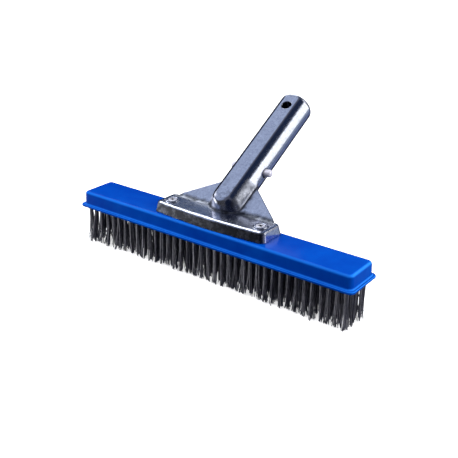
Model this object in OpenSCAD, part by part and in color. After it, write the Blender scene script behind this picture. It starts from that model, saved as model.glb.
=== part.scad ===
// Pool wall brush: a plastic block with rows of steel wire tufts, and a cast handle that takes a pole.
// The block runs along X, the handle leans towards +Y, and the wire tips stand on Z = 0.

/* [Block] */
// Length of the block over its flange
flange_len = 267; // [266:1:320]
// Width of the upper part of the block
block_w = 34; // [34:0.5:44]
// Height of the block, flange included
block_h = 13.4; // [13:0.2:20]
// How far the flange stands out past the block's sides
flange_out = 2.4; // [1:0.1:4]
// Height of the flange
flange_h = 2.6; // [2:0.1:5]
// Radius of the block's upper edges
top_edge_r = 2.5; // [1:0.25:2.5]
// Radius of the block's corners seen from above
corner_r = 4.5; // [3:0.5:8]
// Radius of the flange's corners seen from above
flange_corner_r = 4.5; // [3:0.5:8]

/* [Bristles] */
// Tufts in one row
tufts_per_row = 38; // [10:1:38]
// Distance between tufts along a row
tuft_pitch = 6.82; // [6.2:0.01:6.82]
// Distance between the five rows
row_pitch = 6.75; // [6:0.05:6.75]
// Diameter of a tuft
tuft_d = 3.6; // [2.5:0.1:4]
// Length of wire that stands out of the block
wire_out = 32.5; // [15:0.5:45]
// Depth of a tuft hole
tuft_hole_depth = 7.2; // [5:0.1:7.4]
// Length of the flat wire anchor in each tuft
anchor_len = 5.2; // [4.8:0.1:5.6]
// Height of an anchor
anchor_h = 2; // [1:0.1:2.5]
// Thickness of an anchor
anchor_t = 0.45; // [0.3:0.05:0.8]

/* [Casting plate] */
// Half length of the plate where it sits on the block
plate_half_len = 54; // [50:0.5:60]
// Height of the plate above the block
plate_h = 8.6; // [7:0.2:12]
// Distance from the block's centre line to the middle of the plate's front edge
plate_front = 15.2; // [14:0.1:16]
// Distance from the block's centre line to the plate's rear edge
plate_rear = 14.2; // [12:0.1:15]
// How far the front edge curves back at the plate's ends
plate_bow = 3; // [0:0.25:4]
// How much the plate narrows on each side from its foot to its top
plate_draft = 1.6; // [0.5:0.1:2.5]
// Wall thickness of the casting
wall = 2.6; // [2:0.1:3]
// Distance of each screw from the middle of the plate
screw_x = 43.4; // [40:0.2:44]
// Radius of the raised pad round a screw
pad_r = 5.6; // [5:0.1:6.5]
// Height of the raised pad
pad_h = 0.9; // [0.5:0.1:1.5]

/* [Casting handle] */
// Angle of the handle above the top of the block
handle_angle = 31; // [28:1:35]
// Radius of the round spigot that a pole slides over
spigot_r = 14.2; // [13.5:0.05:14.2]
// Distance along the handle's axis from the block's top to the tip
handle_len = 138.5; // [131:0.5:150]
// Width of the flat on the front of the handle
flat_w = 12.8; // [8:0.2:13]
// Width of the drain slot on the back of the handle
slot_w = 6; // [4:0.5:7]
// Where the foot's front face stands, from the block's centre line
foot_front = 3.3; // [1:0.1:5]
// Radius of the hole in the flat near the tip
tip_hole_r = 4.25; // [2:0.05:4.5]
// Half length of the gusset where it leaves the plate
web_half_len = 46.5; // [40:0.5:48]
// Thickness of the gusset
web_t = 3; // [2:0.1:4]

/* [Spring clip] */
// Distance along the axis from the block's top to the buttons when pressed in
button_at = 59.2; // [55:0.1:60]
// Distance along the axis from the block's top to the centre of the clip's bend
bend_at = 124.6; // [120:0.1:126]
// Radius of a button
button_r = 3.175; // [2.8:0.005:3.4]
// How far a button stands out of the handle
button_out = 5.5; // [4:0.1:6]
// Thickness of the spring strip
strip_t = 0.9; // [0.6:0.05:1.2]
// Width of the spring strip
strip_w = 9; // [7:0.5:10]
// Outer radius of the clip's bend
bend_r = 4.2; // [3.5:0.1:5]

/* [Hidden] */
$fn = 64;

eps = 0.01;
// How far a cut runs past the face that it opens
over = 1;
row_count = 5;
block_len = flange_len - 2 * flange_out;
flange_w = block_w + 2 * flange_out;
block_bottom = wire_out;
block_top = wire_out + block_h;
// Angles of the outlines that round the block's upper edge
edge_steps = [30, 60, 90];
tuft_top = block_bottom + tuft_hole_depth;
row_len = (tufts_per_row - 1) * tuft_pitch;
rows_w = (row_count - 1) * row_pitch;
// Wire that folds over each anchor fills this height above it
fold_h = 0.7;
anchor_top = tuft_top - fold_h;
anchor_bottom = anchor_top - anchor_h;

plate_top = block_top + plate_h;
plate_foot_h = 0.8;
plate_rim_h = 1;
// The plate's top edge is eased between these two insets
rim_low_inset = plate_draft - 0.4;
rim_top_inset = plate_draft + 0.5;
plate_corner_r = 4;
pocket_corner_r = 2;
pocket_h = plate_h - wall;
screw_y = -1;
boss_r = 4.6;
pad_top = plate_top + pad_h;
head_r = 4.1;
head_cone_h = 2.3;
screw_r = 1.75;
screw_bite = 5.4;
recess_turns = [45, 135];
recess_w = 1.1;
recess_len = 4.4;
recess_depth = 1.4;

// The handle's axis crosses the block's top plane a little in front of the centre line
handle_y = -3.5;
bore_r = spigot_r - wall;
flat_n = sqrt(spigot_r * spigot_r - flat_w * flat_w / 4);
tip_edge_r = 2.2;
// Boss inside the tube that the tip hole runs through, ending just short of the clip
tip_boss_gap = 0.3;
tip_boss_low = strip_w / 2 + tip_boss_gap;
tip_boss_wall = 2;
// The pole's bore ends here, and the handle widens a little below
spigot_start = 66;
foot_r = spigot_r + 0.15;
slot_start = 50;
handle_far = 400;
web_top_n = -0.6;
web_root = 10;
web_root_inset = 2;
web_corner = 18.5;
web_peak = 45.5;

strip_outer_x = 9.7;
arm_reach = bend_at - button_at;
// Half the angle between the clip's arms, from the bend to the strip's place at the buttons
arm_angle = asin((strip_outer_x - bend_r) / arm_reach);
arm_end_past = 5;
rivet_r = 2;
rivet_head_r = 2.8;
rivet_head_h = 0.7;
button_edge_r = 1.1;
// Length of a button from the strip's outer face to its tip
button_len = (spigot_r + button_out - strip_outer_x) / cos(arm_angle);
// The part of a button that stays in the handle's wall tapers a little towards the strip
neck_r = button_r - 0.2;
neck_out = 0.6;
neck_len = (spigot_r + neck_out - strip_outer_x) / cos(arm_angle);
// A button swings a little along the axis as it goes in, so its hole sits at the middle of that swing
button_rest_at = bend_at - arm_reach * cos(arm_angle) + bend_r * sin(arm_angle)
    + (spigot_r - wall / 2 - strip_outer_x) * tan(arm_angle);
button_hole_at = (button_at + button_rest_at) / 2;
button_hole_r = button_r + 0.75;
// Gap between the clip's bend and its arms
bend_gap = 0.03;

function tuft_x(i) = -row_len / 2 + i * tuft_pitch;
function row_y(row) = -rows_w / 2 + (row - 1) * row_pitch;

// Places its children in the handle's frame: Z along the axis, X across, -Y out of the flat
module on_handle() {
    translate([0, handle_y, block_top])
        rotate([handle_angle - 90, 0, 0])
            children();
}

// Round-cornered rectangle about the origin
module rounded_rect(len, width, r) {
    square([len - 2 * r, width], center = true);
    square([len, width - 2 * r], center = true);
    for (sx = [-1, 1], sy = [-1, 1])
        translate([sx * (len / 2 - r), sy * (width / 2 - r)])
            circle(r = r);
}

// Upper part of the block, with its top edges rounded by three stacked outlines
module block_body() {
    straight_h = block_h - top_edge_r;
    translate([0, 0, block_bottom])
        linear_extrude(straight_h)
            rounded_rect(block_len, block_w, corner_r);
    hull() {
        translate([0, 0, block_bottom + straight_h - eps])
            linear_extrude(eps)
                rounded_rect(block_len, block_w, corner_r, $fn = 32);
        for (a = edge_steps)
            translate([0, 0, block_bottom + straight_h + top_edge_r * sin(a) - eps])
                linear_extrude(eps)
                    rounded_rect(
                        block_len - 2 * top_edge_r * (1 - cos(a)),
                        block_w - 2 * top_edge_r * (1 - cos(a)),
                        corner_r - top_edge_r * (1 - cos(a)),
                        $fn = 32
                    );
    }
}

// Space that one tuft and its anchor take in the block
module tuft_socket() {
    translate([0, 0, block_bottom - over])
        cylinder(d = tuft_d, h = tuft_hole_depth + over);
    translate([-anchor_len / 2, -anchor_t / 2, anchor_bottom])
        cube([anchor_len, anchor_t, anchor_h]);
}

module brush_block() {
    color([0.02, 0.22, 0.72])
        difference() {
            union() {
                block_body();
                translate([0, 0, block_bottom])
                    linear_extrude(flange_h)
                        rounded_rect(flange_len, flange_w, flange_corner_r);
            }
            for (row = [1 : row_count], i = [0 : tufts_per_row - 1])
                translate([tuft_x(i), row_y(row), 0])
                    tuft_socket();
            for (side = [-1, 1])
                translate([side * screw_x, screw_y, block_top - screw_bite])
                    cylinder(r = screw_r, h = screw_bite + over);
        }
}

// One row of wire tufts, each folded over its anchor at the bottom of its hole
module tuft_row(row) {
    color([0.28, 0.28, 0.3])
        for (i = [0 : tufts_per_row - 1])
            translate([tuft_x(i), row_y(row), 0])
                difference() {
                    cylinder(d = tuft_d, h = tuft_top, $fn = 24);
                    translate([-tuft_d, -anchor_t / 2, anchor_bottom])
                        cube([2 * tuft_d, anchor_t, anchor_h]);
                }
}

// The flat wire anchors of one row
module anchor_row(row) {
    color([0.6, 0.6, 0.58])
        for (i = [0 : tufts_per_row - 1])
            translate([tuft_x(i) - anchor_len / 2, row_y(row) - anchor_t / 2, anchor_bottom])
                cube([anchor_len, anchor_t, anchor_h]);
}

// Outline of the plate, pulled in all round by an inset, with the front edge bowed
module plate_outline(inset, r) {
    half = plate_half_len - inset;
    steps = 12;
    front = [
        for (i = [0 : steps])
            let (x = -half + 2 * half * i / steps)
                [x, -plate_front + inset + plate_bow * pow(x / half, 2)]
    ];
    offset(r = r)
        offset(delta = -r)
            polygon(concat(front, [[half, plate_rear - inset], [-half, plate_rear - inset]]));
}

module plate_shell() {
    translate([0, 0, block_top])
        hull() {
            linear_extrude(plate_foot_h)
                plate_outline(0, plate_corner_r, $fn = 32);
            translate([0, 0, plate_h - plate_rim_h])
                linear_extrude(eps)
                    plate_outline(rim_low_inset, plate_corner_r, $fn = 32);
            translate([0, 0, plate_h - eps])
                linear_extrude(eps)
                    plate_outline(rim_top_inset, plate_corner_r, $fn = 32);
        }
}

// Hollow under the plate
module plate_pocket() {
    translate([0, 0, block_top - over])
        linear_extrude(pocket_h + over)
            plate_outline(plate_draft + wall, pocket_corner_r, $fn = 24);
}

// Half outline of a round bar between two heights, with its far edge rounded
module bar_outline(r, start, end, edge_r) {
    translate([0, start]) {
        square([r - edge_r, end - start]);
        square([r, end - edge_r - start]);
    }
    translate([r - edge_r, end - edge_r])
        circle(r = edge_r, $fn = 32);
}

// Round outside of the handle: its drafted lower part, then the spigot
module handle_round() {
    rotate_extrude() {
        bar_outline(spigot_r, spigot_start, handle_len, tip_edge_r);
        polygon([
            [0, -spigot_r],
            [foot_r, -spigot_r],
            [spigot_r, spigot_start],
            [0, spigot_start]
        ]);
    }
}

// The handle with its front flat, cut upright at the foot's front face and level at the block's top
module handle_outside() {
    intersection() {
        translate([-foot_r, foot_front, block_top])
            cube([2 * foot_r, handle_far, handle_far]);
        on_handle()
            intersection() {
                handle_round();
                translate([-foot_r, -flat_n, -spigot_r])
                    cube([2 * foot_r, flat_n + foot_r, handle_len + 2 * spigot_r]);
            }
    }
}

// Boss round the tip hole, on the inside of the flat
module tip_boss() {
    translate([0, -tip_boss_low, bend_at])
        rotate([90, 0, 0])
            cylinder(r = tip_hole_r + tip_boss_wall, h = spigot_r);
}

// Hollow of the handle, open at the tip and below where the tube overhangs the block
module handle_hollow() {
    inside = foot_front + wall;
    intersection() {
        on_handle()
            difference() {
                cylinder(r = bore_r, h = handle_len + over);
                tip_boss();
            }
        union() {
            translate([-spigot_r, inside, plate_top])
                cube([2 * spigot_r, handle_far, handle_far]);
            translate([-spigot_r, plate_rear, block_top - over])
                cube([2 * spigot_r, handle_far, handle_far]);
        }
    }
}

// Slot, tip hole and button holes, in the handle's frame
module handle_openings() {
    translate([-slot_w / 2, 0, slot_start])
        cube([slot_w, spigot_r + over, handle_len]);
    translate([0, 0, slot_start])
        rotate([-90, 0, 0])
            cylinder(r = slot_w / 2, h = spigot_r + over);
    translate([0, 0, bend_at])
        rotate([90, 0, 0])
            cylinder(r = tip_hole_r, h = spigot_r + over);
    translate([-spigot_r - over, 0, button_hole_at])
        rotate([0, 90, 0])
            cylinder(r = button_hole_r, h = 2 * spigot_r + 2 * over);
}

// Gusset in the plane of the handle's axis
module web() {
    inner = bore_r + wall / 2;
    on_handle()
        translate([0, -web_top_n + web_t, 0])
            rotate([90, 0, 0])
                linear_extrude(web_t)
                    for (side = [-1, 1])
                        polygon([
                            [side * inner, web_root],
                            [side * (web_half_len - web_root_inset), web_root],
                            [side * web_half_len, web_corner],
                            [side * inner, web_peak]
                        ]);
}

module handle_casting() {
    color([0.62, 0.64, 0.7])
        difference() {
            union() {
                difference() {
                    union() {
                        plate_shell();
                        handle_outside();
                        web();
                    }
                    plate_pocket();
                }
                for (side = [-1, 1])
                    translate([side * screw_x, screw_y, block_top]) {
                        cylinder(r = boss_r, h = plate_h);
                        translate([0, 0, pocket_h])
                            cylinder(r = pad_r, h = plate_h + pad_h - pocket_h);
                    }
            }
            handle_hollow();
            on_handle()
                handle_openings();
            for (side = [-1, 1])
                translate([side * screw_x, screw_y, 0]) {
                    translate([0, 0, block_top - over])
                        cylinder(r = screw_r, h = plate_h + 2 * over);
                    translate([0, 0, pad_top - head_cone_h])
                        cylinder(r1 = screw_r, r2 = head_r, h = head_cone_h);
                    translate([0, 0, pad_top - eps])
                        cylinder(r = head_r, h = over);
                }
        }
}

// Flat-headed screw with a cross recess, its head flush with the pad
module plate_screw(side) {
    color([0.72, 0.72, 0.74])
        translate([side * screw_x, screw_y, 0])
            difference() {
                union() {
                    translate([0, 0, block_top - screw_bite])
                        cylinder(r = screw_r, h = pad_top - head_cone_h - block_top + screw_bite);
                    translate([0, 0, pad_top - head_cone_h])
                        cylinder(r1 = screw_r, r2 = head_r, h = head_cone_h);
                }
                for (turn = recess_turns)
                    translate([0, 0, pad_top - recess_depth])
                        rotate([0, 0, turn])
                            translate([-recess_len / 2, -recess_w / 2, 0])
                                cube([recess_len, recess_w, recess_depth + over]);
            }
}

module plate_screw_left() {
    plate_screw(-1);
}

module plate_screw_right() {
    plate_screw(1);
}

// Places its children at the bend's centre, with Z across the strip's width and X out to the side
module at_bend() {
    on_handle()
        translate([0, 0, bend_at])
            rotate([90, 0, 0])
                children();
}

// Half round of spring strip that joins the two arms
module clip_bend() {
    color([0.7, 0.71, 0.73])
        at_bend()
            translate([0, 0, -strip_w / 2])
                difference() {
                    cylinder(r = bend_r, h = strip_w);
                    translate([0, 0, -over])
                        cylinder(r = bend_r - strip_t, h = strip_w + 2 * over);
                    for (side = [0, 1])
                        mirror([side, 0, 0])
                            rotate([0, 0, arm_angle])
                                translate([0, -handle_far + bend_gap, -over])
                                    cube([handle_far, handle_far, strip_w + 2 * over]);
                    translate([-bend_r, -2 * bend_r, -over])
                        cube([2 * bend_r, 2 * bend_r, strip_w + 2 * over]);
                }
}

// Frame of one arm: its outer face is at X = bend_r and it runs towards -Y
module on_arm(side) {
    at_bend()
        mirror([side < 0 ? 1 : 0, 0, 0])
            rotate([0, 0, arm_angle])
                children();
}

// One leg of the spring clip, with the hole that its button is riveted in
module clip_arm(side) {
    color([0.7, 0.71, 0.73])
        on_arm(side)
            difference() {
                translate([bend_r - strip_t, -arm_reach - arm_end_past, -strip_w / 2])
                    cube([strip_t, arm_reach + arm_end_past, strip_w]);
                translate([bend_r - strip_t - over, -arm_reach, 0])
                    rotate([0, 90, 0])
                        cylinder(r = rivet_r, h = strip_t + 2 * over);
            }
}

module clip_arm_left() {
    clip_arm(-1);
}

module clip_arm_right() {
    clip_arm(1);
}

// Round-ended button, riveted through the strip
module clip_button(side) {
    color([0.8, 0.8, 0.83])
        on_arm(side)
            translate([bend_r, -arm_reach, 0])
                rotate([0, 90, 0])
                    rotate_extrude() {
                        bar_outline(button_r, neck_len, button_len, button_edge_r);
                        polygon([[0, 0], [neck_r, 0], [button_r, neck_len], [0, neck_len]]);
                        translate([0, -strip_t])
                            square([rivet_r, strip_t]);
                        translate([0, -strip_t - rivet_head_h])
                            square([rivet_head_r, rivet_head_h]);
                    }
}

module clip_button_left() {
    clip_button(-1);
}

module clip_button_right() {
    clip_button(1);
}

brush_block();
tuft_row(1);  // tuft_row_1
tuft_row(2);  // tuft_row_2
tuft_row(3);  // tuft_row_3
tuft_row(4);  // tuft_row_4
tuft_row(5);  // tuft_row_5
anchor_row(1);  // anchor_row_1
anchor_row(2);  // anchor_row_2
anchor_row(3);  // anchor_row_3
anchor_row(4);  // anchor_row_4
anchor_row(5);  // anchor_row_5
handle_casting();
plate_screw_left();
plate_screw_right();
clip_bend();
clip_arm_left();
clip_arm_right();
clip_button_left();
clip_button_right();
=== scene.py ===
"""Looks of the pool wall brush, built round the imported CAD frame. Lengths are mm until a mesh is made."""

import math

import bmesh
import bpy
import numpy as np
from mathutils import Matrix, Vector


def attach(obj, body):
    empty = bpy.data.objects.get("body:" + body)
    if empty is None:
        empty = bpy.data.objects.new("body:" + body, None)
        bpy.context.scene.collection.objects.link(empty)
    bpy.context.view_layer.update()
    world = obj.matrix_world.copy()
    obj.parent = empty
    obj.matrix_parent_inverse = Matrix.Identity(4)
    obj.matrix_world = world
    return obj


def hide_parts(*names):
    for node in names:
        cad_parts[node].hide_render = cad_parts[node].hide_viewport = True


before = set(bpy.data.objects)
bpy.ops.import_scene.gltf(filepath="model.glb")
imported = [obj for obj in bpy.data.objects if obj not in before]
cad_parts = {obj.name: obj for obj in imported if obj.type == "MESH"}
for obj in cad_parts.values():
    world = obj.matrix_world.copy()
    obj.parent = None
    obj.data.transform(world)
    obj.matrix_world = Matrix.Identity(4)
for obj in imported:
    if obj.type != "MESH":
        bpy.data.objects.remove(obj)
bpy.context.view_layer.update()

MM = 0.001
SEED = 20
SIDES = (("left", -1), ("right", 1))

# Block, as in the CAD
FLANGE_LEN = 267.0
BLOCK_W = 34.0
FLANGE_OUT = 2.4
FLANGE_H = 2.6
BLOCK_H = 13.4
BLOCK_BOTTOM = 32.5
BLOCK_TOP = BLOCK_BOTTOM + BLOCK_H
TOP_EDGE_R = 2.5
CORNER_R = 4.5

# Bristles, as in the CAD
ROWS = 5
TUFTS = 38
TUFT_PITCH = 6.82
ROW_PITCH = 6.75
TUFT_R = 1.8
TUFT_TOP = BLOCK_BOTTOM + 7.2
ANCHOR_T = 0.45
ANCHOR_TOP = TUFT_TOP - 0.7
ANCHOR_BOTTOM = ANCHOR_TOP - 2.0

# Casting, as in the CAD
PLATE_HALF = 54.0
PLATE_H = 8.6
PLATE_TOP = BLOCK_TOP + PLATE_H
PLATE_FRONT = 15.2
PLATE_REAR = 14.2
PLATE_BOW = 3.0
PLATE_DRAFT = 1.6
PLATE_CORNER_R = 4.0
POCKET_CORNER_R = 2.0
WALL = 2.6
SCREW_BOSS_R = 4.6
SCREW_X = 43.4
SCREW_Y = -1.0
PAD_R = 5.6
PAD_TOP = PLATE_TOP + 0.9
HEAD_R = 4.1
HEAD_CONE_H = 2.3
SCREW_R = 1.75
SCREW_BOTTOM = BLOCK_TOP - 5.4
HANDLE_ANGLE = math.radians(31)
HANDLE_Y = -3.5
SPIGOT_R = 14.2
BORE_R = SPIGOT_R - WALL
HANDLE_START = -30.0
HANDLE_LEN = 138.5
FLAT_HALF = 6.4
FLAT_N = math.sqrt(SPIGOT_R**2 - FLAT_HALF**2)
FOOT_FRONT = 3.3
FOOT_CURVE = 0.035
SLOT_HALF = 3.0
SLOT_START = 50.0
TIP_HOLE_R = 4.25

# Gusset, as in the CAD: a web in the plane of the handle's axis, with a side and a top edge that meet
# at a corner; each edge is given by the way that it faces
WEB_T = 3.0
WEB_FRONT = -0.6
WEB_LOW = 8.0
WEB_CORNER = (46.5, 18.5)
WEB_CORNER_R = 4.0
WEB_SIDE_WAY = (0.973, -0.229)
WEB_TOP_LEN = math.hypot(26.0, 32.6)
WEB_TOP_WAY = (26.0 / WEB_TOP_LEN, 32.6 / WEB_TOP_LEN)

# Spring clip and its buttons, as in the CAD
STRIP_T = 0.9
STRIP_W = 9.0
STRIP_X = 9.7
BEND_AT = 124.6
BEND_R = 4.2
BUTTON_AT = 59.2
BUTTON_R = 3.175
BUTTON_OUT = 5.5
BUTTON_HOLE_AT = 59.63
BUTTON_HOLE_R = BUTTON_R + 0.75
ARM_ANGLE = math.asin((STRIP_X - BEND_R) / (BEND_AT - BUTTON_AT))
BUTTON_LEN = (SPIGOT_R + BUTTON_OUT - STRIP_X) / math.cos(ARM_ANGLE)

# Boss round the tip hole, inside the handle, which ends just clear of the strip
TIP_BOSS_WALL = 2.0
TIP_BOSS_LOW = STRIP_W / 2 + 0.3


# ---------------------------------------------------------------- meshes


def mesh_from(name, points, faces, normals=None):
    """Smooth mesh from points in mm and arrays of faces, each array with its own number of corners."""
    mesh = bpy.data.meshes.new(name)
    mesh.vertices.add(len(points))
    mesh.vertices.foreach_set("co", (np.asarray(points) * MM).astype(np.float32).ravel())
    loops = np.concatenate([f.ravel() for f in faces])
    sizes = np.concatenate([np.full(len(f), f.shape[1]) for f in faces])
    mesh.loops.add(len(loops))
    mesh.loops.foreach_set("vertex_index", loops.astype(np.int32))
    mesh.polygons.add(len(sizes))
    starts = np.concatenate([[0], np.cumsum(sizes)[:-1]])
    mesh.polygons.foreach_set("loop_start", starts.astype(np.int32))
    mesh.polygons.foreach_set("use_smooth", np.ones(len(sizes), bool))
    mesh.update(calc_edges=True)
    if normals is not None:
        mesh.normals_split_custom_set_from_vertices(normals)
    return mesh


def point_values(mesh, name, values):
    """Stores one number per vertex, for the material to read."""
    mesh.attributes.new(name, "FLOAT", "POINT").data.foreach_set("value", values.astype(np.float32))


def piece(name, mesh, material, body, node_name):
    """Object that rides on a CAD body and stands for a CAD node."""
    obj = bpy.data.objects.new(name, mesh)
    bpy.context.scene.collection.objects.link(obj)
    mesh.materials.append(material)
    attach(obj, body)
    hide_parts(node_name)


CELL_CORNERS = np.array([(i, j, k) for i in (0, 1) for j in (0, 1) for k in (0, 1)])
CELL_EDGES = [
    (a, b) for a in range(8) for b in range(a + 1, 8) if abs(CELL_CORNERS[a] - CELL_CORNERS[b]).sum() == 1
]


def gradient(field, points, step):
    """Gradient of a field at points, by central differences."""
    found = np.empty_like(points)
    for axis in range(3):
        shift = np.zeros(3)
        shift[axis] = step
        found[:, axis] = (field(*(points + shift).T) - field(*(points - shift).T)) / (2 * step)
    return found


def surface_net(field, low, high, pitch, soft=0.12):
    """Points, quads and normals of the surface where a field is zero.

    A grid finds the surface, and its points are then drawn onto it.
    """
    # The grid is set off by an odd part of a cell, so that its points miss the flat faces
    axes = [np.arange(a - 2.37 * pitch, b + 2.5 * pitch, pitch) for a, b in zip(low, high)]
    yy, zz = np.meshgrid(axes[1], axes[2], indexing="ij")
    values = np.stack([field(np.full_like(yy, x), yy, zz) for x in axes[0]])
    inside = values < 0
    cells_shape = tuple(n - 1 for n in values.shape)
    count = np.zeros(cells_shape, np.uint8)
    for i, j, k in CELL_CORNERS:
        count += inside[i : i + cells_shape[0], j : j + cells_shape[1], k : k + cells_shape[2]]
    cells = np.argwhere((count > 0) & (count < 8))
    index = np.full(cells_shape, -1, np.int32)
    index[tuple(cells.T)] = np.arange(len(cells))
    corner = np.stack([values[tuple((cells + c).T)] for c in CELL_CORNERS], 1)
    total = np.zeros((len(cells), 3))
    hits = np.zeros(len(cells))
    for a, b in CELL_EDGES:
        crossed = (corner[:, a] < 0) != (corner[:, b] < 0)
        t = corner[crossed, a] / (corner[crossed, a] - corner[crossed, b])
        total[crossed] += CELL_CORNERS[a] + t[:, None] * (CELL_CORNERS[b] - CELL_CORNERS[a])
        hits[crossed] += 1
    points = np.array([a[0] for a in axes]) + (cells + total / hits[:, None]) * pitch
    quads = []
    for axis in range(3):
        ahead = [slice(None)] * 3
        ahead[axis] = slice(1, None)
        here = [slice(None)] * 3
        here[axis] = slice(None, -1)
        changed = np.argwhere(inside[tuple(ahead)] != inside[tuple(here)])
        u, v = (axis + 1) % 3, (axis + 2) % 3
        ring = []
        for du, dv in ((-1, -1), (0, -1), (0, 0), (-1, 0)):
            c = changed.copy()
            c[:, u] += du
            c[:, v] += dv
            ring.append(index[tuple(c.T)])
        ring = np.stack(ring, 1)
        leaving = inside[tuple(changed.T)]
        ring[~leaving] = ring[~leaving][:, ::-1]
        quads.append(ring)
    quads = np.concatenate(quads)
    # Newton steps along the gradient, held within a part of a cell
    start = points.copy()
    for _ in range(5):
        slope = gradient(field, points, 0.02)
        size = np.maximum((slope**2).sum(1), 0.05)
        points = points - (field(*points.T) / size)[:, None] * slope
        moved = points - start
        far = np.maximum(np.linalg.norm(moved, axis=1) / (0.7 * pitch), 1)
        points = start + moved / far[:, None]
    slope = gradient(field, points, soft)
    normals = slope / np.maximum(np.linalg.norm(slope, axis=1), 1e-9)[:, None]
    return points, quads, normals


# ---------------------------------------------------------------- fields

# Fillets and rounded edges of the casting
PLATE_EDGE = 1.5
PAD_EDGE = 0.5
PAD_FILLET = 0.9
TIP_EDGE = 4.5
TIP_CROWN = 0.4
FLAT_END = 2.5
FLAT_EDGE = 0.9
FOOT_EDGE = 7.0
WEB_EDGE = 1.2
WEB_PLATE_FILLET = 1.4
WEB_HANDLE_FILLET = 5.0
HANDLE_PLATE_FILLET = 2.2
OPENING_EDGE = 0.7
SHARP_EDGE = 0.35
# Rim of the plate: how far in from the plate's edge its slope and its dish begin
RIM_OUTER = 2.4
RIM_SLOPE = 0.23
RIM_INNER = 2.6
DISH_DEPTH = 0.3


def join(a, b, k):
    """Union of two fields with a fillet of about k."""
    h = np.maximum(k - np.abs(a - b), 0) / k
    return np.minimum(a, b) - h * h * h * k / 6


def cut(a, b, k):
    """Where both fields are inside, with the edge between them rounded by about k."""
    return -join(-a, -b, k)


def extrusion(flat, z, low, high, edge):
    """A plan field between two heights, with rounded edges."""
    w0 = flat + edge
    w1 = np.abs(z - (low + high) / 2) - (high - low) / 2 + edge
    return np.minimum(np.maximum(w0, w1), 0) + np.hypot(np.maximum(w0, 0), np.maximum(w1, 0)) - edge


def plate_plan(x, y, inset, r):
    """Plan of the plate: a round-cornered bar with a bowed front edge."""
    front = -PLATE_FRONT + inset + PLATE_BOW * (x / PLATE_HALF) ** 2
    rear = PLATE_REAR - inset
    qx = np.abs(x) - (PLATE_HALF - inset - r)
    qy = np.abs(y - (front + rear) / 2) - ((rear - front) / 2 - r)
    return np.minimum(np.maximum(qx, qy), 0) + np.hypot(np.maximum(qx, 0), np.maximum(qy, 0)) - r


def past_edge(x, y, corner, way):
    """Distance past a straight edge through a corner, in the direction that the edge faces."""
    return (x - corner[0]) * way[0] + (y - corner[1]) * way[1]


def handle_frame(y, z):
    """Distance along the handle's axis, and out of its flat."""
    dy, dz = y - HANDLE_Y, z - BLOCK_TOP
    c, s = math.cos(HANDLE_ANGLE), math.sin(HANDLE_ANGLE)
    return dy * c + dz * s, dz * c - dy * s


def casting_parts(x, y, z):
    """Fields of the plate, the gusset and the handle's outside."""
    along, out = handle_frame(y, z)
    ax = np.abs(x)
    round_out = np.hypot(x, out)

    # Plate with drafted sides, a top that is dished inside its rim and slopes outside it
    inset = PLATE_DRAFT * (z - BLOCK_TOP) / PLATE_H
    plan = plate_plan(x, y, inset, PLATE_CORNER_R)
    plate = extrusion(plan, z, BLOCK_TOP - 6, PLATE_TOP, PLATE_EDGE)
    step = np.clip(-plan - RIM_INNER, 0, 1)
    dish = DISH_DEPTH * step * step * (3 - 2 * step)
    rim_fall = RIM_SLOPE * np.maximum(plan + RIM_OUTER, 0)
    plate = cut(plate, z - PLATE_TOP + dish + rim_fall, 0.2)
    pad = np.hypot(ax - SCREW_X, y - SCREW_Y) - PAD_R
    plate = join(plate, extrusion(pad, z, PLATE_TOP - 3, PAD_TOP, PAD_EDGE), PAD_FILLET)

    # Handle: a bar with a flat, an upright foot face and a rolled tip; it starts below the block's top
    bar = extrusion(round_out - SPIGOT_R, along, HANDLE_START, HANDLE_LEN + TIP_CROWN, TIP_EDGE)
    bar = cut(bar, cut(out - FLAT_N, along - HANDLE_LEN, FLAT_END), FLAT_EDGE)
    foot_face = FOOT_FRONT + FOOT_CURVE * ax**2 - y
    bar = cut(bar, foot_face, FOOT_EDGE)

    # Gusset in the plane of the axis
    past_side = past_edge(ax, along, WEB_CORNER, WEB_SIDE_WAY)
    past_top = past_edge(ax, along, WEB_CORNER, WEB_TOP_WAY)
    outer = cut(past_side, past_top, WEB_CORNER_R)
    web = cut(cut(outer, out - WEB_FRONT, WEB_EDGE), WEB_FRONT - WEB_T - out, WEB_EDGE)
    web = np.maximum(web, WEB_LOW - along)
    return plate, web, bar


def head_cone(reach, z):
    """Field of the cone under a screw's head, scaled to a distance across its slope."""
    return (reach - HEAD_R - (z - PAD_TOP) * (HEAD_R - SCREW_R) / HEAD_CONE_H) * 0.7


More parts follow.
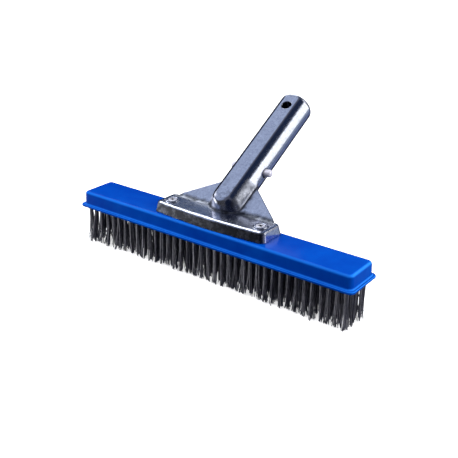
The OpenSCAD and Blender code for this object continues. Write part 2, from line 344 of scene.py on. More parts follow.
def casting_field(x, y, z):
    """The cast plate, handle and gusset, with their hollows and openings."""
    plate, web, bar = casting_parts(x, y, z)
    along, out = handle_frame(y, z)
    ax = np.abs(x)
    round_out = np.hypot(x, out)
    body = join(plate, web, WEB_PLATE_FILLET)
    body = join(body, join(bar, web, WEB_HANDLE_FILLET), HANDLE_PLATE_FILLET)
    body = cut(body, BLOCK_TOP - z, SHARP_EDGE)

    # Hollows
    pocket_plan = plate_plan(x, y, PLATE_DRAFT + WALL, POCKET_CORNER_R)
    pocket = extrusion(pocket_plan, z, BLOCK_TOP - 8, PLATE_TOP - WALL, 1.0)
    reach = np.hypot(ax - SCREW_X, y - SCREW_Y)
    pocket = cut(pocket, SCREW_BOSS_R - reach, 1.4)
    body = cut(body, -pocket, 0.5)
    inside = FOOT_FRONT + FOOT_CURVE * ax**2 + WALL
    bore = round_out - BORE_R
    above = np.maximum(inside - y, PLATE_TOP - z)
    behind = PLATE_REAR - y
    bore = cut(bore, join(above, behind, 1.0), 1.0)
    boss = cut(np.hypot(x, along - BEND_AT) - TIP_HOLE_R - TIP_BOSS_WALL, TIP_BOSS_LOW - out, 0.5)
    bore = cut(bore, -boss, 0.6)
    body = cut(body, -bore, 0.8)

    # Openings
    slot = np.maximum(ax - SLOT_HALF, out)
    slot_end = np.hypot(x, along - SLOT_START) - SLOT_HALF
    slot = np.where(along < SLOT_START, np.maximum(slot_end, out), slot)
    body = cut(body, -slot, OPENING_EDGE)
    tip_hole = np.maximum(np.hypot(x, along - BEND_AT) - TIP_HOLE_R, -out)
    body = cut(body, -tip_hole, OPENING_EDGE)
    button_hole = np.hypot(out, along - BUTTON_HOLE_AT) - BUTTON_HOLE_R
    body = cut(body, -button_hole, SHARP_EDGE)
    countersink = np.maximum(head_cone(reach, z) - 0.02, z - PAD_TOP - 2)
    drill = np.minimum(reach - SCREW_R - 0.05, countersink)
    return cut(body, -drill, 0.3)


# ---------------------------------------------------------------- materials


def principled(name, **values):
    """Material, its node tree and its Principled shader, with the named sockets of the shader set."""
    material = bpy.data.materials.new(name)
    material.use_nodes = True
    tree = material.node_tree
    shader = tree.nodes["Principled BSDF"]
    for key, value in values.items():
        shader.inputs[key.replace("_", " ")].default_value = value
    return material, tree, shader


def node(tree, kind, inputs=(), **settings):
    """New node with its settings, and with each named input linked to a socket or set to a value."""
    made = tree.nodes.new(kind)
    for key, value in settings.items():
        setattr(made, key, value)
    for key, value in dict(inputs).items():
        if isinstance(value, bpy.types.NodeSocket):
            tree.links.new(value, made.inputs[key])
        else:
            made.inputs[key].default_value = value
    return made


def object_coords(tree):
    """Coordinates in metres, which stay with the piece."""
    return node(tree, "ShaderNodeTexCoord").outputs["Object"]


def attribute(tree, name):
    """A number that a mesh stores for each of its points."""
    return node(tree, "ShaderNodeAttribute", attribute_name=name).outputs["Fac"]


def noise(tree, coords, scale, detail, rough):
    """Noise with features of about 1 / scale metres."""
    inputs = {"Vector": coords, "Scale": scale, "Detail": detail, "Roughness": rough}
    return node(tree, "ShaderNodeTexNoise", inputs).outputs["Fac"]


def remap(tree, value, low, high, to_low, to_high):
    """A value's range from low to high, stretched to another range and held inside it."""
    inputs = {"Value": value, "From Min": low, "From Max": high, "To Min": to_low, "To Max": to_high}
    return node(tree, "ShaderNodeMapRange", inputs).outputs["Result"]


def blend_colour(tree, factor, a, b):
    """Mix of two colours, each an RGB tuple or a socket."""
    made = node(tree, "ShaderNodeMix", data_type="RGBA")
    for key, value in ((0, factor), (6, a), (7, b)):
        if isinstance(value, bpy.types.NodeSocket):
            tree.links.new(value, made.inputs[key])
        else:
            made.inputs[key].default_value = value if key == 0 else (*value, 1)
    return made.outputs[2]


def bump(tree, height, distance, strength, after=None):
    """Normal of a bump that is a distance high in metres, on top of another bump's normal."""
    inputs = {"Height": height, "Distance": distance, "Strength": strength}
    if after is not None:
        inputs["Normal"] = after
    return node(tree, "ShaderNodeBump", inputs).outputs["Normal"]


def cast_aluminium():
    """Polished on the outside; duller and darker in the creases and on the plate's upright sides, where the
    dark colour is painted shade; dark with painted shade inside the hollows.
    """
    material, tree, shader = principled("cast_aluminium", Metallic=1.0)
    coords = object_coords(tree)
    polish_and_shade = attribute(tree, "polish_and_shade")
    inside = attribute(tree, "inside")
    cloud = noise(tree, coords, 180, 4, 0.65)
    mottle = noise(tree, coords, 520, 3, 0.6)
    grain = noise(tree, coords, 1100, 3, 0.6)
    pits = noise(tree, coords, 2600, 2, 0.5)
    polish_and_light = node(tree, "ShaderNodeMath", {0: polish_and_shade, 1: cloud}, operation="ADD").outputs[0]
    polish_and_light = remap(tree, polish_and_light, 0.5, 1.1, 0, 1)
    colour = blend_colour(tree, remap(tree, cloud, 0.3, 0.7, 0, 1), (0.57, 0.60, 0.70), (0.69, 0.72, 0.82))
    colour = blend_colour(tree, remap(tree, mottle, 0.42, 0.66, 0, 0.42), colour, (0.40, 0.43, 0.53))
    colour = blend_colour(tree, remap(tree, grain, 0.55, 0.75, 0, 0.4), colour, (0.34, 0.36, 0.45))
    # Painted shade: where the polish level is low, in the creases and on the plate's upright sides, the
    # colour turns near black
    colour = blend_colour(tree, polish_and_light, (0.08, 0.085, 0.10), colour)
    # Painted shade inside the hollows, far from any outside face
    colour = blend_colour(tree, inside, colour, (0.075, 0.08, 0.12))
    tree.links.new(colour, shader.inputs["Base Color"])
    shine = remap(tree, mottle, 0.3, 0.7, 0.12, 0.22)
    dull = remap(tree, grain, 0.3, 0.7, 0.36, 0.5)
    rough = node(tree, "ShaderNodeMix", {"Factor": polish_and_light, 2: dull, 3: shine}, data_type="FLOAT").outputs[0]
    tree.links.new(rough, shader.inputs["Roughness"])
    wave = bump(tree, noise(tree, coords, 120, 2, 0.5), 0.0002, 0.45)
    skin = bump(tree, mottle, 0.0001, 0.35, wave)
    tree.links.new(bump(tree, pits, 0.00002, 0.3, skin), shader.inputs["Normal"])
    return material


def blue_plastic():
    """Clouded moulded plastic with a fine grain, and a painted highlight in pale blue along its rounded
    edges.
    """
    shine = {"Specular_Tint": (0.4, 0.7, 1.0, 1), "Specular_IOR_Level": 0.06}
    material, tree, shader = principled("blue_plastic", **shine)
    coords = object_coords(tree)
    cloud = noise(tree, coords, 35, 3, 0.55)
    grain = noise(tree, coords, 1500, 3, 0.6)
    edge = attribute(tree, "edge")
    colour = blend_colour(tree, remap(tree, cloud, 0.3, 0.7, 0, 1), (0.0, 0.044, 0.36), (0.0, 0.070, 0.45))
    # Painted highlight: the rounded edges are blended towards pale blue
    colour = blend_colour(tree, remap(tree, edge, 0, 1, 0, 0.9), colour, (0.02, 0.24, 0.90))
    tree.links.new(colour, shader.inputs["Base Color"])
    tree.links.new(remap(tree, cloud, 0.3, 0.7, 0.12, 0.2), shader.inputs["Roughness"])
    tree.links.new(bump(tree, grain, 0.00002, 0.3), shader.inputs["Normal"])
    return material


def bristle_wire():
    """Dull drawn wire, of a tone of its own in each strand, with dark stains."""
    material, tree, shader = principled("bristle_wire", Metallic=0.45)
    tone = attribute(tree, "tone")
    coords = object_coords(tree)
    stain = noise(tree, coords, 420, 3, 0.6)
    colour = blend_colour(tree, tone, (0.07, 0.07, 0.098), (0.52, 0.52, 0.56))
    colour = blend_colour(tree, remap(tree, stain, 0.5, 0.75, 0, 0.6), colour, (0.07, 0.065, 0.065))
    tree.links.new(colour, shader.inputs["Base Color"])
    tree.links.new(remap(tree, stain, 0.3, 0.7, 0.3, 0.5), shader.inputs["Roughness"])
    return material


def plated_steel(name, tint, rough, metallic=1.0):
    """Bright plated steel with a few darker spots, and painted shade where a mesh marks its recess."""
    material, tree, shader = principled(name, Metallic=metallic)
    coords = object_coords(tree)
    spot = noise(tree, coords, 1400, 4, 0.6)
    dark = tuple(0.6 * c for c in tint)
    colour = blend_colour(tree, remap(tree, spot, 0.5, 0.8, 0, 0.7), tint, dark)
    # Painted shade in a recess: near black where the mesh's recess value is high
    colour = blend_colour(tree, attribute(tree, "recess"), colour, (0.03, 0.03, 0.035))
    tree.links.new(colour, shader.inputs["Base Color"])
    tree.links.new(remap(tree, spot, 0.3, 0.7, rough, rough + 0.15), shader.inputs["Roughness"])
    tree.links.new(bump(tree, spot, 0.00003, 0.3), shader.inputs["Normal"])
    return material


ALUMINIUM = cast_aluminium()
PLASTIC = blue_plastic()
WIRE = bristle_wire()
ANCHOR = plated_steel("anchor_wire", (0.62, 0.62, 0.60), 0.35)
SCREW = plated_steel("screw_steel", (0.62, 0.62, 0.70), 0.3, metallic=0.5)
SPRING = plated_steel("spring_steel", (0.10, 0.10, 0.12), 0.38)
BUTTON = plated_steel("button_steel", (0.86, 0.84, 0.95), 0.3, metallic=0.35)


# ---------------------------------------------------------------- casting

CASTING_GRID = 0.75
# Corners of a box round the casting
CASTING_LOW = (-PLATE_HALF, -PLATE_FRONT, BLOCK_TOP)
CASTING_HIGH = (PLATE_HALF, 121.5, BLOCK_TOP + 83)
# Distance from a crease at which the metal is fully polished and the painted crease shade has faded out
CREASE = 6.0


def polish_and_shade_of(points, normals, crease):
    """How polished each point is, and so how much painted shade it takes: less in the creases and on the
    plate's upright sides, where the darkening is painted shade, and where a buffing wheel reaches badly.
    """
    x, y, z = points.T
    along = handle_frame(y, z)[0]
    upright = (np.abs(normals[:, 2]) < 0.4) & (z < PLATE_TOP)
    plate_end = upright & (np.abs(normals[:, 0]) > 0.6)
    level = (normals[:, 2] > 0.9) & (z < PAD_TOP)
    on_web = (z > PLATE_TOP) & (crease > 0.6) & (np.abs(x) > SPIGOT_R)
    beside_foot = (np.abs(x) > 9.5) & (along < 44)
    at_tip = along > HANDLE_LEN - 4
    up_handle = 0.55 + 0.45 * np.clip((along - 30) / 18, 0, 1)
    places = [plate_end, upright, level, on_web, beside_foot, at_tip]
    most = np.select(places, [0.7, 0.05, 0.6, 0.8, 0.3, 0.4], up_handle)
    return np.minimum(np.clip(crease / CREASE, 0, 1), most)


points, quads, normals = surface_net(casting_field, CASTING_LOW, CASTING_HIGH, CASTING_GRID)
casting_mesh = mesh_from("casting", points, [quads], normals)
# Distances to the nearest outside face, which is far in the hollows, and to the next, near in a crease
hollow, crease = np.sort(np.abs(np.stack(casting_parts(*points.T))), axis=0)[:2]
point_values(casting_mesh, "polish_and_shade", polish_and_shade_of(points, normals, crease))
# Painted shade for the inside of the hollows, where no outside face is near
point_values(casting_mesh, "inside", np.clip(hollow - 0.6, 0, 1))
piece("casting", casting_mesh, ALUMINIUM, "brush", "handle_casting")

# ---------------------------------------------------------------- block

WALL_DRAFT = 0.35
# Flange: its rounded lower and upper edges, how far its top falls outwards, and the fillet up to the wall
FLANGE_LOW_R = 0.6
FLANGE_HIGH_R = 0.8
FLANGE_FALL = 0.5
FLANGE_FILLET_R = 1.5
FLANGE_FILLET_LIFT = 0.9
# Holes for the tufts and the screws: the radius of their eased rims, and the points round one
HOLE_RIM_R = 2.0
HOLE_STEPS = 20
CELL_STEPS = HOLE_STEPS // 4


def outline(out):
    """Points and outward directions of the block's plan, moved out by a distance."""
    r = CORNER_R + min(out, 0)
    hx = FLANGE_LEN / 2 - FLANGE_OUT + out - r
    hy = BLOCK_W / 2 + out - r
    steps = 10
    spots, ways = [], []
    for corner, (sx, sy) in enumerate(((1, 1), (-1, 1), (-1, -1), (1, -1))):
        for i in range(steps + 1):
            a = math.pi / 2 * (corner + i / steps)
            way = (math.cos(a), math.sin(a))
            ways.append(way)
            spots.append((sx * hx + r * way[0], sy * hy + r * way[1]))
    return np.array(spots), np.array(ways)


def arc(out, z, r, start, end, steps):
    """Profile points (out, z, tilt) round a centre; tilt is the normal's angle above level."""
    for i in range(steps + 1):
        a = math.radians(start + (end - start) * i / steps)
        yield out + r * math.cos(a), z + r * math.sin(a), a


def block_mesh():
    """Moulded block with its flange, rolled top edge, pilot holes and a blind hole for each tuft."""
    bm = bmesh.new()
    shade_layer = bm.verts.layers.float_vector.new("shade")
    edge_highlight_layer = bm.verts.layers.float.new("edge")

    def vert(co, way, edge=0.0):
        """Point with its normal, and how much painted highlight it takes as part of a rounded edge."""
        v = bm.verts.new(co)
        v[shade_layer] = way
        v[edge_highlight_layer] = edge
        return v

    def hole(x, y, r, mouth, deep, facing, start=0.0):
        """Rings of a hole's rim, mouth and bottom, in a face that looks up (1) or down (-1)."""
        rim, wall_top, wall_low = [], [], []
        for i in range(HOLE_STEPS):
            a = 2 * math.pi * i / HOLE_STEPS + start
            c, s = math.cos(a), math.sin(a)
            rim.append(vert((x + HOLE_RIM_R * c, y + HOLE_RIM_R * s, mouth), (0, 0, facing)))
            eased = mouth - facing * (HOLE_RIM_R - r)
            wall_top.append(vert((x + r * c, y + r * s, eased), (-c, -s, 0)))
            wall_low.append(vert((x + r * c, y + r * s, deep), (-c, -s, 0)))
        return rim, wall_top, wall_low

    def bridge(lower, upper):
        """Quads between two rings of points."""
        n = len(lower)
        for i in range(n):
            j = (i + 1) % n
            bm.faces.new((lower[i], lower[j], upper[j], upper[i]))

    def fill(loops, upward):
        """Flat face between loops of points."""
        edges = []
        for loop in loops:
            for i in range(len(loop)):
                pair = (loop[i], loop[(i + 1) % len(loop)])
                edges.append(bm.edges.get(pair) or bm.edges.new(pair))
        normal = (0, 0, 1 if upward else -1)
        made = bmesh.ops.triangle_fill(bm, edges=edges, use_beauty=True, normal=normal)
        faces = [f for f in made["geom"] if isinstance(f, bmesh.types.BMFace)]
        for f in faces:
            f.normal_update()
            if (f.normal.z > 0) != upward:
                f.normal_flip()

    # Outer skin: flange, wall and rolled top edge
    flange_top = BLOCK_BOTTOM + FLANGE_H
    upper_z = flange_top - FLANGE_FALL - FLANGE_HIGH_R
    fillet_z = flange_top + FLANGE_FILLET_LIFT
    profile = list(arc(FLANGE_OUT - FLANGE_LOW_R, BLOCK_BOTTOM + FLANGE_LOW_R, FLANGE_LOW_R, -90, 0, 4))
    profile += list(arc(FLANGE_OUT - FLANGE_HIGH_R, upper_z, FLANGE_HIGH_R, 0, 75, 7))
    fillet = arc(FLANGE_FILLET_R, fillet_z, FLANGE_FILLET_R, 262, 180, 6)
    profile += [(out, z, tilt + math.pi) for out, z, tilt in fillet]
    profile += list(arc(-WALL_DRAFT - TOP_EDGE_R, BLOCK_TOP - TOP_EDGE_R, TOP_EDGE_R, 2, 90, 8))
    rings = []
    for out, z, tilt in profile:
        c, s = math.cos(tilt), math.sin(tilt)
        # Painted highlight along the rounded edges: strongest half way round each edge, and stronger on the
        # block's ends than on its long sides
        edge = max(math.sin(2 * abs(tilt)), 0) ** 2
        rings.append([
            vert((p[0], p[1], z), (w[0] * c, w[1] * c, s), edge * (0.45 + 0.55 * w[0] ** 2))
            for p, w in zip(*outline(out))
        ])
    for lower, upper in zip(rings, rings[1:]):
        bridge(lower, upper)

    # Top face with the two pilot holes
    rims = []
    for side in (-1, 1):
        rim, wall_top, wall_low = hole(side * SCREW_X, SCREW_Y, SCREW_R, BLOCK_TOP, SCREW_BOTTOM, 1)
        bridge(wall_top, rim)
        bridge(wall_low, wall_top)
        bm.faces.new(wall_low)
        rims.append(rim)
    fill([rings[-1], *rims], True)

    # Underside: a cell round each tuft hole
    grid = {}
    n = CELL_STEPS

    def corner(u, v):
        """Shared point on the cells' borders, counted in steps along a cell's side."""
        if (u, v) not in grid:
            x = (u / n - TUFTS / 2) * TUFT_PITCH
            y = (v / n - ROWS / 2) * ROW_PITCH
            grid[(u, v)] = vert((x, y, BLOCK_BOTTOM), (0, 0, -1))
        return grid[(u, v)]

    def border_of(u, v, nu, nv):
        """Points round a rectangle of the grid, anticlockwise seen from above."""
        border = [corner(u + k, v) for k in range(nu)] + [corner(u + nu, v + k) for k in range(nv)]
        border += [corner(u + nu - k, v + nv) for k in range(nu)]
        return border + [corner(u, v + nv - k) for k in range(nv)]

    for i in range(TUFTS):
        for j in range(ROWS):
            border = border_of(i * n, j * n, n, n)
            x, y = (i + 0.5 - TUFTS / 2) * TUFT_PITCH, (j + 0.5 - ROWS / 2) * ROW_PITCH
            rim, wall_top, wall_low = hole(x, y, TUFT_R, BLOCK_BOTTOM, TUFT_TOP, -1, -0.75 * math.pi)
            bridge(rim, border)
            bridge(wall_top, rim)
            bridge(wall_low, wall_top)
            bm.faces.new(list(reversed(wall_low)))
    fill([rings[0], border_of(0, 0, TUFTS * n, ROWS * n)], False)

    bmesh.ops.recalc_face_normals(bm, faces=bm.faces)
    mesh = bpy.data.meshes.new("block")
    bm.to_mesh(mesh)
    bm.free()
    normals = np.empty(len(mesh.vertices) * 3, np.float32)
    mesh.attributes["shade"].data.foreach_get("vector", normals)
    mesh.attributes.remove(mesh.attributes["shade"])
    mesh.transform(Matrix.Scale(MM, 4))
    mesh.polygons.foreach_set("use_smooth", np.ones(len(mesh.polygons), bool))
    mesh.normals_split_custom_set_from_vertices(normals.reshape(-1, 3))
    return mesh


piece("block", block_mesh(), PLASTIC, "brush", "brush_block")

# ---------------------------------------------------------------- bristles

STRANDS = 14
WIRE_R = 0.25
# Gap that a strand keeps from its hole's wall and from its anchor
CLEAR = 0.02
# Half the stretch of an anchor that the strands are folded over
FOLD_HALF = 1.42
CLUMPS = 5
# Wires at the left end are the most worn: tufts there that lie askew, and how much more the first one does
ASKEW_TUFTS = 9
ASKEW = 1.2
STRAY_SHARE = 0.012
SHORT_SHARE = 0.1
# Spread of the tufts, of the clumps in a tuft and of single strands
TUFT_LEAN = 0.25
TUFT_BOW = 0.15
CLUMP_LEAN = 1.15
CLUMP_TRIM = 1.3
TIP_SPREAD = 0.35
TIP_TRIM = 0.6
STRAY_SPREAD = 6.0
STRAND_WAVE = 0.12
# Lowest height of a tip, and how much wider than at the block the tufts are there
TIP_LOW = 0.3
GATHER = 1.3
# Places along a leg of a strand, from its tip to the block's underside
LEG_STEPS = (1.0, 0.9, 0.8, 0.68, 0.54, 0.38, 0.2, 0.0)
WIRE_SIDES = 4


def row_mesh(row, rng):
    """One row of tufts: strands of wire folded over the anchors, with both legs down to ragged tips."""
    tuft = np.repeat(np.arange(TUFTS), STRANDS)
    count = len(tuft)
    lean = rng.normal(0, TUFT_LEAN, (TUFTS, 2))
    bow = rng.normal(0, TUFT_BOW, (TUFTS, 2))
    shade = rng.uniform(0, 0.12, TUFTS)
    clump_lean = rng.normal(0, CLUMP_LEAN, (TUFTS, CLUMPS, 2))
    clump_trim = np.abs(rng.normal(0, CLUMP_TRIM, (TUFTS, CLUMPS)))
    askew = 1 + ASKEW * np.clip(1 - np.arange(TUFTS) / ASKEW_TUFTS, 0, 1)
    lean *= askew[:, None]
    bow *= askew[:, None]
    clump_lean *= askew[:, None, None]
    clump_trim -= clump_trim.min(axis=1, keepdims=True)
    across = rng.uniform(-1, 1, count) * FOLD_HALF
    fold = rng.uniform(0.25, 0.45, count)
    legs = []
    for way in (1, -1):
        depth = np.sqrt((TUFT_R - WIRE_R - CLEAR) ** 2 - across**2)
        near = WIRE_R + CLEAR
        into = near + (depth - near) * rng.uniform(0, 1, count) ** 0.8
        root = np.stack([across, way * into], 1)
        # Wires that stand close together in a tuft belong to one clump
        turn = np.arctan2(root[:, 1], root[:, 0]) / (2 * math.pi) + 0.5 + rng.normal(0, 0.06, count)
        clump = (np.floor(turn * CLUMPS) % CLUMPS).astype(int)
        gather = GATHER + 0.15 * rng.normal(0, 1, count)
        tip = root * gather[:, None] + lean[tuft] + clump_lean[tuft, clump]
        tip += rng.normal(0, TIP_SPREAD, (count, 2))
        stray = rng.uniform(0, 1, count) < STRAY_SHARE
        tip[stray] += rng.normal(0, STRAY_SPREAD, (stray.sum(), 2)) * (1, 0.3)
        low = TIP_LOW + clump_trim[tuft, clump] + np.abs(rng.normal(0, TIP_TRIM, count))
        short = rng.uniform(0, 1, count) < SHORT_SHARE
        low[short] += rng.uniform(1, 5, short.sum())
        phase = rng.uniform(0, 2 * math.pi, count)
        turns = rng.uniform(0.6, 1.4, count)
        size = np.abs(rng.normal(0, STRAND_WAVE, count))
        wave_way = rng.uniform(0, 2 * math.pi, count)
        leg = []
        for t in LEG_STEPS:
            sway = size * np.sin(phase + 2 * math.pi * turns * t) * t
            spot = root + (tip - root) * (0.35 * t + 0.65 * t**3)
            spot = spot + bow[tuft] * (4 * t * (1 - t))
            spot = spot + np.stack([np.cos(wave_way), np.sin(wave_way)], 1) * sway[:, None]
            z = BLOCK_BOTTOM + (low - BLOCK_BOTTOM) * t
            leg.append(np.column_stack([spot, z]))
        beside = np.maximum(ANCHOR_T / 2 + WIRE_R, np.abs(root[:, 1]) * 0.7)
        hold = np.column_stack([root[:, 0], way * beside])
        leg.append(np.column_stack([hold, np.full(count, ANCHOR_BOTTOM - 0.8)]))
        leg.append(np.column_stack([hold, np.full(count, ANCHOR_TOP - 0.1)]))
        legs.append(leg)
    apex = np.column_stack([across, np.zeros(count), ANCHOR_TOP + fold])
    path = np.stack([*legs[0], apex, *reversed(legs[1])], 1)
    path[:, :, 0] += ((tuft + 0.5 - TUFTS / 2) * TUFT_PITCH)[:, None]
    path[:, :, 1] += (row - (ROWS + 1) / 2) * ROW_PITCH
    reach = FLANGE_LEN / 2 - 1
    path[:, :, 0] = np.clip(path[:, :, 0], -reach, reach)
    path[:, :, 2] = np.maximum(path[:, :, 2], WIRE_R)

    along = np.gradient(path, axis=1)
    along /= np.linalg.norm(along, axis=2, keepdims=True)
    side = np.array([1.0, 0, 0]) - along[:, :, :1] * along
    side /= np.linalg.norm(side, axis=2, keepdims=True)
    up = np.cross(along, side)
    angles = 2 * math.pi * np.arange(WIRE_SIDES) / WIRE_SIDES + math.pi / 4
    ways = side[:, :, None] * np.cos(angles)[:, None] + up[:, :, None] * np.sin(angles)[:, None]
    points = path[:, :, None] + WIRE_R * ways
    rings = points.shape[1]
    number = np.arange(count * rings * WIRE_SIDES).reshape(count, rings, WIRE_SIDES)
    nxt = np.roll(number, -1, axis=2)
    sides = np.stack([number[:, :-1], nxt[:, :-1], nxt[:, 1:], number[:, 1:]], -1).reshape(-1, 4)
    caps = np.concatenate([number[:, 0, ::-1], number[:, -1]])
    mesh = mesh_from(f"tufts_{row}", points.reshape(-1, 3), [sides, caps])
    tone = np.clip(shade[tuft] + rng.beta(0.8, 3.0, count), 0, 1)
    point_values(mesh, "tone", np.repeat(tone, rings * WIRE_SIDES))
    return mesh


for row in range(1, ROWS + 1):
    tufts = row_mesh(row, np.random.default_rng(SEED + row))
    piece(f"wire_tufts_{row}", tufts, WIRE, "brush", f"tuft_row_{row}")

# ---------------------------------------------------------------- screws

HEAD_LOW = PAD_TOP - HEAD_CONE_H
THREAD_PITCH = 1.4
THREAD_DEPTH = 0.4
POINT_LEN = 2.5
# Cross recess, whose arms get shorter and narrower towards its bottom
RECESS_DEPTH = 1.9
RECESS_ARM = 2.1
RECESS_HALF = 0.75
SCREW_GRID = 0.22
SCREW_SOFT = 0.05


def screw_field(x, y, z):
    """Countersunk wood screw about the Z axis, with a cross recess and a thread under its head."""
    reach = np.hypot(x, y)
    crown = z - PAD_TOP + 0.02 * reach**2
    head = cut(cut(head_cone(reach, z), reach - HEAD_R + 0.1, 0.3), crown, 0.5)
    head = np.maximum(head, HEAD_LOW - 1 - z)
    turn = (z / THREAD_PITCH - np.arctan2(y, x) / (2 * math.pi)) % 1.0
    ridge = THREAD_DEPTH * np.clip(1 - np.abs(turn - 0.5) * 4, 0, 1)
    taper = 0.5 * np.clip((SCREW_BOTTOM + POINT_LEN - z) / POINT_LEN, 0, 1) ** 2
    core = SCREW_R - THREAD_DEPTH - taper
    # The thread fades out into a plain neck under the head
    fade = np.clip((HEAD_LOW - 2 - z) / 0.8, 0, 1)
    shank = (reach - core - ridge * fade - THREAD_DEPTH * (1 - fade)) * 0.6
    shank = cut(shank, SCREW_BOTTOM - z, 0.4)
    shank = np.maximum(shank, z - PAD_TOP + 1)
    body = join(head, shank, 0.5)
    u, v = np.abs(x + y) * math.sqrt(0.5), np.abs(x - y) * math.sqrt(0.5)
    deep = np.clip((PAD_TOP - z) / RECESS_DEPTH, 0, 1)
    arm = RECESS_ARM - 0.9 * deep
    half = RECESS_HALF - 0.2 * deep
    arms = join(cut(u - half, v - arm, 0.3), cut(v - half, u - arm, 0.3), 0.5)
    recess = np.maximum(arms, PAD_TOP - RECESS_DEPTH - z)
    return cut(body, -recess, 0.25)


screw_low, screw_high = (-HEAD_R, -HEAD_R, SCREW_BOTTOM), (HEAD_R, HEAD_R, PAD_TOP)
points, quads, normals = surface_net(screw_field, screw_low, screw_high, SCREW_GRID, SCREW_SOFT)
# Painted shade in the cross recess, which grows darker below the head's face
recess = np.clip((PAD_TOP - 0.35 - points[:, 2]) / 0.3, 0, 1)
for name, side in SIDES:
    placed = points + (side * SCREW_X, SCREW_Y, 0)
    mesh = mesh_from(f"screw_{name}", placed, [quads], normals)
    point_values(mesh, "recess", recess)
    piece(f"screw_{name}", mesh, SCREW, "brush", f"plate_screw_{name}")

# ---------------------------------------------------------------- buttons

BUTTON_STEPS = 40
DOME_H = 2.2
NECK_DRAFT = 0.2
# Rivet that holds a button to the strip: its head inside the handle, and its stem
RIVET_R = 2.8
RIVET_H = 0.85
RIVET_EDGE = 0.15
STEM_R = 2.0


def on_arm(side, across, down, out):
    """Points in the part's frame, from an arm's own: across the strip's face, along the arm, and out."""
    c, s = math.cos(ARM_ANGLE), math.sin(ARM_ANGLE)
    x = side * (across * c - down * s)
    along = BEND_AT + across * s + down * c
    hc, hs = math.cos(HANDLE_ANGLE), math.sin(HANDLE_ANGLE)
    return np.stack([x, HANDLE_Y + along * hc - out * hs, BLOCK_TOP + along * hs + out * hc], -1)


def button_profile():
    """Radius and height of a button from its rivet head inside the handle to its domed tip."""
    strip_in = -STRIP_T
    yield 0.0, strip_in - RIVET_H
    for a in np.radians(np.linspace(75, 0, 6)):
        yield RIVET_R * math.cos(a), strip_in - RIVET_EDGE - (RIVET_H - RIVET_EDGE) * math.sin(a)
    yield RIVET_R - 0.05, strip_in
    yield STEM_R, strip_in
    yield STEM_R, 0.0
    yield BUTTON_R - NECK_DRAFT - 0.05, 0.0
    yield BUTTON_R - NECK_DRAFT, 0.1
    yield BUTTON_R, (SPIGOT_R + 0.6 - STRIP_X) / math.cos(ARM_ANGLE)
    for a in np.radians(np.linspace(0, 84, 9)):
        yield BUTTON_R * math.cos(a) ** 0.8, BUTTON_LEN - DOME_H + DOME_H * math.sin(a)
    yield 0.0, BUTTON_LEN


def button_mesh(name, side):
    """A button turned about its axis, which stands square on its arm."""
    profile = np.array(list(button_profile()))
    turn = 2 * math.pi * np.arange(BUTTON_STEPS) / BUTTON_STEPS
    rings = len(profile) - 2
    radius = profile[1:-1, :1]
    height = np.repeat(profile[1:-1, 1:], BUTTON_STEPS, 1)
    down = BUTTON_AT - BEND_AT + radius * np.cos(turn)
    body = on_arm(side, BEND_R + height, down, radius * np.sin(turn)).reshape(-1, 3)
    ends = on_arm(side, BEND_R + profile[[0, -1], 1], np.full(2, BUTTON_AT - BEND_AT), np.zeros(2))
    number = np.arange(rings * BUTTON_STEPS).reshape(rings, BUTTON_STEPS)
    nxt = np.roll(number, -1, 1)
    sides = np.stack([number[:-1], nxt[:-1], nxt[1:], number[1:]], -1).reshape(-1, 4)
    start = np.full(BUTTON_STEPS, number.size)
    caps = np.concatenate([
        np.stack([nxt[0], number[0], start], -1),
        np.stack([number[-1], nxt[-1], start + 1], -1),
    ])
    if side > 0:
        sides, caps = sides[:, ::-1], caps[:, ::-1]
    mesh = mesh_from(name, np.concatenate([body, ends]), [sides, caps])
    mesh.set_sharp_from_angle(angle=math.radians(50))
    return mesh


for name, side in SIDES:
    mesh = button_mesh(f"button_{name}", side)
    piece(f"button_{name}", mesh, BUTTON, f"{name}_arm", f"clip_button_{name}")

# ---------------------------------------------------------------- kept CAD nodes

# Start of the node's name: material and the width of the eased edges in mm
KEPT = {
    "anchor_row": (ANCHOR, 0.1),
    "clip_bend": (SPRING, 0.22),
    "clip_arm": (SPRING, 0.22),
}
for name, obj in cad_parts.items():
    for start, (material, ease) in KEPT.items():
        if name.startswith(start):
            for held in obj.material_slots:
                held.material = material
            bevel = obj.modifiers.new("ease", "BEVEL")
            bevel.width = ease * MM
            bevel.segments = 2
            bevel.limit_method = "ANGLE"
            bevel.angle_limit = math.radians(40)
            bevel.harden_normals = True

# ---------------------------------------------------------------- stage

WORLD_BASE = (0.12, 0.125, 0.16)
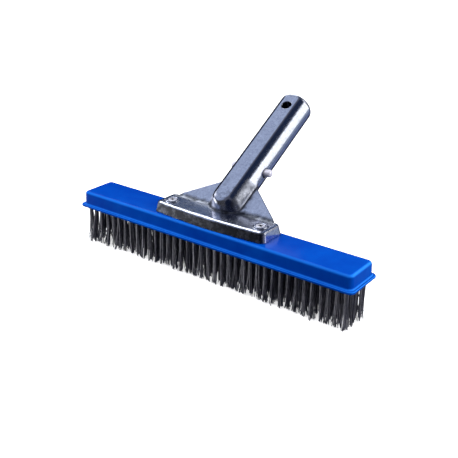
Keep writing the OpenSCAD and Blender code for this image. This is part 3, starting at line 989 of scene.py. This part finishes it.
# Soft patches of the studio that the metal reflects: the way to each one, the half widths in degrees
# at which it is full and gone, and its colour; a later patch lies over an earlier one
PATCHES = [
    ((-0.55, 0.72, 0.41), 20, 45, (0.09, 0.13, 0.23)),
    ((-0.55, -0.78, -0.30), 35, 60, (0.06, 0.058, 0.065)),
    ((-0.62, -0.60, 0.50), 17, 23, (0.36, 0.42, 0.58)),
    ((-0.55, -0.02, 0.83), 20, 27, (0.46, 0.53, 0.70)),
    ((-0.57, 0.49, 0.66), 9, 12, (3.4, 3.5, 3.6)),
    ((0.41, 0.72, 0.55), 9, 12, (2.5, 2.5, 2.6)),
    ((0.80, 0.30, 0.50), 14, 18, (1.8, 1.8, 1.8)),
    ((0.82, 0.45, 0.20), 14, 18, (1.8, 1.8, 1.8)),
    ((0.61, 0.77, -0.20), 5, 8, (0.33, 0.40, 0.55)),
    ((0.74, 0.62, 0.05), 8, 11, (1.6, 1.6, 1.6)),
    ((0.20, 0.81, -0.56), 18, 24, (0.17, 0.21, 0.37)),
    ((0.62, 0.0, 0.78), 21, 24, (0.012, 0.022, 0.055)),
    ((-0.88, -0.12, 0.46), 14, 18, (1.6, 1.6, 1.7)),
    ((-0.88, -0.38, -0.26), 16, 21, (2.8, 2.8, 2.8)),
    ((0.55, -0.78, 0.10), 27, 34, (0.008, 0.012, 0.03)),
    ((-0.25, 0.86, -0.45), 19, 25, (0.01, 0.012, 0.03)),
    ((-0.81, 0.56, -0.15), 30, 34, (0.0, 0.002, 0.012)),
]


def make_world():
    """Studio light that shows as plain white behind the object."""
    world = bpy.data.worlds.new("studio")
    bpy.context.scene.world = world
    world.use_nodes = True
    tree = world.node_tree
    way = node(tree, "ShaderNodeTexCoord").outputs["Generated"]
    colour = WORLD_BASE
    for direction, full, gone, tint in PATCHES:
        unit = Vector(direction).normalized()
        dot = node(tree, "ShaderNodeVectorMath", {0: way, 1: unit}, operation="DOT_PRODUCT")
        inputs = {
            "Value": dot.outputs["Value"],
            "From Min": math.cos(math.radians(gone)),
            "From Max": math.cos(math.radians(full)),
        }
        edge = node(tree, "ShaderNodeMapRange", inputs, interpolation_type="SMOOTHSTEP")
        colour = blend_colour(tree, edge.outputs["Result"], colour, tint)
    seen = node(tree, "ShaderNodeLightPath").outputs["Is Camera Ray"]
    colour = blend_colour(tree, seen, colour, (1.0, 1.0, 1.0))
    tree.links.new(colour, tree.nodes["Background"].inputs["Color"])


make_world()


def soft_light(name, spot, aim, size, power):
    """Round area light that the metal doesn't reflect."""
    data = bpy.data.lights.new(name, "AREA")
    data.shape = "DISK"
    data.size = size
    data.energy = power
    obj = bpy.data.objects.new(name, data)
    obj.location = spot
    obj.rotation_mode = "QUATERNION"
    obj.rotation_quaternion = (Vector(aim) - Vector(spot)).to_track_quat("-Z", "Y")
    obj.visible_glossy = False
    bpy.context.scene.collection.objects.link(obj)


soft_light("overhead", (-0.35, -0.25, 1.5), (0, 0, 0), 1.4, 24)
soft_light("front_fill", (-0.40, -0.40, 0.12), (-0.10, 0, 0.03), 0.25, 1.3)
soft_light("right_fill", (1.2, 0.1, 0.4), (0, 0, 0.03), 0.8, 13)

# Pale floor, which is hidden from reflected light so that it doesn't brighten the object
floor_mesh = bpy.data.meshes.new("floor")
bm = bmesh.new()
bmesh.ops.create_grid(bm, x_segments=2, y_segments=2, size=8)
bm.to_mesh(floor_mesh)
bm.free()
floor = bpy.data.objects.new("floor", floor_mesh)
bpy.context.scene.collection.objects.link(floor)
floor.visible_glossy = False
floor.visible_diffuse = False
glow = {"Emission_Color": (1, 1, 1, 1), "Emission_Strength": 0.65}
floor_material, tree, shader = principled("floor", Roughness=0.9, Specular_IOR_Level=0.1, **glow)
speck = noise(tree, object_coords(tree), 60, 2, 0.5)
pale = blend_colour(tree, speck, (0.93, 0.93, 0.93), (0.95, 0.95, 0.95))
tree.links.new(pale, shader.inputs["Base Color"])
floor_mesh.materials.append(floor_material)

# Camera, as solved from the proportions of the block, the tufts and the handle
camera_data = bpy.data.cameras.new("camera")
camera_data.lens = 62.54
camera_data.sensor_width = 36.0
camera = bpy.data.objects.new("camera", camera_data)
camera.matrix_world = (
    Matrix.Translation((0.3502, -0.4590, 0.2944))
    @ Matrix.Rotation(math.radians(36.28), 4, "Z")
    @ Matrix.Rotation(math.radians(66.24), 4, "X")
    @ Matrix.Rotation(math.radians(0.92), 4, "Z")
)
bpy.context.scene.collection.objects.link(camera)
bpy.context.scene.camera = camera
bpy.context.scene.view_settings.view_transform = "Standard"
